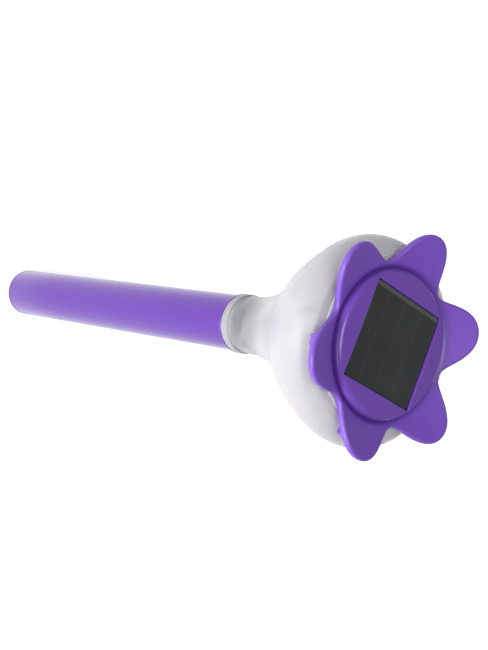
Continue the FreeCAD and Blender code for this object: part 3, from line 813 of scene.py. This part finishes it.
# The pieces under the epoxy: silicon, tinned copper, a black masked board and a foam gasket. All are
# out of sight while the cap is together.
silicon, tree, shader = new_material("amorphous_silicon_cell")
place = add_node(tree, "ShaderNodeTexCoord").outputs["Object"]
cloud = add_node(
    tree, "ShaderNodeTexNoise", values={"Scale": 1.0 / (14.0 * MM), "Detail": 3.0},
    links=[(place, "Vector")])
tone = add_node(
    tree, "ShaderNodeMix", {"data_type": "RGBA"}, {"A": linear("#181D21"), "B": linear("#1E2427")},
    [(cloud.outputs["Fac"], "Factor")])
tree.links.new(tone.outputs["Result"], shader.inputs["Base Color"])
shader.inputs["Roughness"].default_value = 0.5
shader.inputs["Specular IOR Level"].default_value = 0.2
finish_cad("solar_cells", silicon)
ribbon_tin, tree, shader = new_material("tinned_copper_ribbon_dull")
place = add_node(tree, "ShaderNodeTexCoord").outputs["Object"]
blotch = add_node(
    tree, "ShaderNodeTexNoise", values={"Scale": 1.0 / (2.5 * MM), "Detail": 4.0}, links=[(place, "Vector")])
tin = add_node(
    tree, "ShaderNodeMix", {"data_type": "RGBA"}, {"A": linear("#2C322F"), "B": linear("#7E847E")},
    [(blotch.outputs["Fac"], "Factor")])
tree.links.new(tin.outputs["Result"], shader.inputs["Base Color"])
shader.inputs["Metallic"].default_value = 0.4
shader.inputs["Roughness"].default_value = 0.5
finish_cad("cell_ribbons", ribbon_tin)
finish_cad("solar_backing", moulded("solder_masked_board_black", "#15191A", "#0E1112", 0.5))
finish_cad("panel_gasket", rubber("closed_cell_foam_cut", "#202022", 0.8))


# Lid. It closes the shade from above: a flat ring that rests on the shade's rim, with a sleeve round
# the hub's drum whose three tabs turn under the shade's ledges. Natural polypropylene, moulded.
sleeve_bore = 44.5
sleeve_radius = 46.3
lid_edge = 51.8
tab_radius = 49.2
tab_bottom = 417.8
tab_top = 420.5
tab_half = 11.0
lid_outline = (
    [(sleeve_bore, drum_bottom + small_round), (sleeve_bore + small_round, drum_bottom)]
    + [(sleeve_radius - small_round, drum_bottom), (sleeve_radius, drum_bottom + small_round)]
    + [(sleeve_radius, rim_level - 0.5), (sleeve_radius + 0.5, rim_level)]
    + rounded(lid_edge - 0.2, rim_level + 0.2, 0.2, -90, 0, 3)
    + rounded(lid_edge - 0.6, lid_level - 0.6, 0.6, 0, 90, 6)
    + [(sleeve_bore + small_round, lid_level), (sleeve_bore, lid_level - small_round)]
)
lid = lathe("shade_lid_skin", lid_outline, 256)
dress(lid, frosted, "cap", "frosted_lid", "shade_lid")
tabs = bmesh.new()
for lock in range(lock_count):
    arc_block(tabs, sleeve_radius - 0.5, tab_radius, tab_bottom, tab_top, lock_step * lock, tab_half)
dress(finished("lid_tabs", tabs), frosted, "cap", "frosted_lid")


# Tray. A dished ABS plate screwed under the hub's drum. It carries the circuit board and the lamps,
# and a snout with a rubber gland lets the lead out.
tray_abs = moulded("moulded_abs_white", "#E9E9EC", "#E2E2E7", 0.45)
finish_cad("electronics_tray", tray_abs)
finish_cad("outlet_gland", rubber("moulded_rubber_gland", "#26262A", 0.6))
switch_nylon = moulded("moulded_nylon_black", "#1D1D20", "#151517", 0.42)
finish_cad("power_switch", switch_nylon)
finish_cad("switch_slider", switch_nylon)


# Screws. Zinc-plated steel, pan-headed: a pale grey metal with a faint uneven blue-yellow cast.
def plated(name, colour, cast, roughness, patch_mm=2.0):
    """Plated or bare metal with a patchy tint and fine scuffs."""
    material, tree, shader = new_material(name)
    place = add_node(tree, "ShaderNodeTexCoord").outputs["Object"]
    patches = add_node(
        tree, "ShaderNodeTexNoise", values={"Scale": 1.0 / (patch_mm * MM), "Detail": 3.0},
        links=[(place, "Vector")])
    tint = add_node(
        tree, "ShaderNodeMix", {"data_type": "RGBA"}, {"A": linear(colour), "B": linear(cast)},
        [(patches.outputs["Fac"], "Factor")])
    tree.links.new(tint.outputs["Result"], shader.inputs["Base Color"])
    wear = add_node(
        tree, "ShaderNodeMapRange", values={"To Min": roughness - 0.06, "To Max": roughness + 0.1},
        links=[(patches.outputs["Fac"], "Value")])
    tree.links.new(wear.outputs[0], shader.inputs["Roughness"])
    shader.inputs["Metallic"].default_value = 1.0
    return material


zinc_steel = plated("zinc_plated_steel", "#B9BCC0", "#C8C6B8", 0.32)
finish_cad("tray_screws", zinc_steel)
finish_cad("cartridge_screws", zinc_steel)
nickel_plate = plated("nickel_plated_strip", "#C9C4B8", "#B8B2A6", 0.26)
finish_cad("contact_plate", nickel_plate)
finish_cad("contact_spring", nickel_plate)
finish_cad("sounder_diaphragm", plated("rolled_brass_sheet", "#C9A24E", "#B58C3C", 0.3))
finish_cad("sounder_ring", plated("turned_brass_ring", "#C2A055", "#AE8A42", 0.34))
finish_cad("piezo_disc", moulded("fired_piezo_ceramic_silvered", "#D8D6CC", "#C6C3B8", 0.5, 0.15))


# Circuit boards. Glass-epoxy laminate under a green solder mask, with the copper tracks just showing
# through it as a slightly paler green. The parts soldered to them have black moulded cases.
def masked_board(name):
    """Green solder mask over copper tracks, drawn as a coarse brick grid so that they can show."""
    material, tree, shader = new_material(name)
    place = add_node(tree, "ShaderNodeTexCoord").outputs["Object"]
    tracks = add_node(
        tree, "ShaderNodeTexBrick", {"offset": 0.5, "squash": 2.0},
        {"Scale": 1.0 / (10.0 * MM), "Mortar Size": 0.03, "Color1": linear("#1F6B45"),
         "Color2": linear("#1A5F3D"), "Mortar": linear("#3D8C62")},
        [(place, "Vector")])
    tree.links.new(tracks.outputs["Color"], shader.inputs["Base Color"])
    relief = add_node(
        tree, "ShaderNodeBump", values={"Strength": 0.4, "Distance": 0.035 * MM},
        links=[(tracks.outputs["Fac"], "Height")])
    tree.links.new(relief.outputs[0], shader.inputs["Normal"])
    shader.inputs["Roughness"].default_value = 0.3
    shader.inputs["IOR"].default_value = 1.52
    return material


green_mask = masked_board("green_solder_mask_on_fr4")
finish_cad("main_board", green_mask)
finish_cad("driver_board", green_mask)
chip_epoxy = moulded("moulded_epoxy_package", "#1C1D20", "#141517", 0.5, 0.12)
finish_cad("board_parts", chip_epoxy)
finish_cad("driver_parts", chip_epoxy)


# Lamps. Three 5 mm light-emitting diodes in clear cast epoxy, pushed through the tray. Unlit, their
# domes look like glass with a slight milky core.
led_epoxy, tree, shader = new_material("clear_cast_led_epoxy")
place = add_node(tree, "ShaderNodeTexCoord").outputs["Object"]
milkiness = add_node(
    tree, "ShaderNodeTexNoise", values={"Scale": 1.0 / (2.0 * MM), "Detail": 1.0}, links=[(place, "Vector")])
core = add_node(
    tree, "ShaderNodeMix", {"data_type": "RGBA"}, {"A": linear("#F2F4F6"), "B": linear("#E4E9EE")},
    [(milkiness.outputs["Fac"], "Factor")])
tree.links.new(core.outputs["Result"], shader.inputs["Base Color"])
shader.inputs["Roughness"].default_value = 0.12
shader.inputs["IOR"].default_value = 1.5
shader.inputs["Transmission Weight"].default_value = 0.7
finish_cad("lamp_leds", led_epoxy)


# Leads. Thin stranded wire in soft PVC. The twin lead from the gland down to the cell is dark; the
# panel's pair is red.
lead_pvc = moulded("extruded_pvc_black", "#26262A", "#1C1C20", 0.38, 0.5)
finish_cad("head_lead", lead_pvc)
red_pvc = moulded("extruded_pvc_red", "#A32A2A", "#8E2222", 0.38, 0.5)
finish_cad("panel_leads", red_pvc)
finish_cad("sounder_leads", red_pvc)
finish_cad("cartridge_lead", lead_pvc)


# Cartridge. The natural ABS carrier inside the neck and the tube, which holds the rechargeable cell
# in its dark blue shrink sleeve and, under it, the sounder. The sleeve shows faintly through the neck.
cradle_abs = moulded("moulded_abs_natural", "#DCDCDF", "#D3D3D8", 0.48)
finish_cad("battery_cradle", cradle_abs)
finish_cad("sounder_housing", cradle_abs)
finish_cad("battery_cell", moulded("shrunk_pvc_sleeve_blue_grey", "#24357A", "#1F2F70", 0.35))
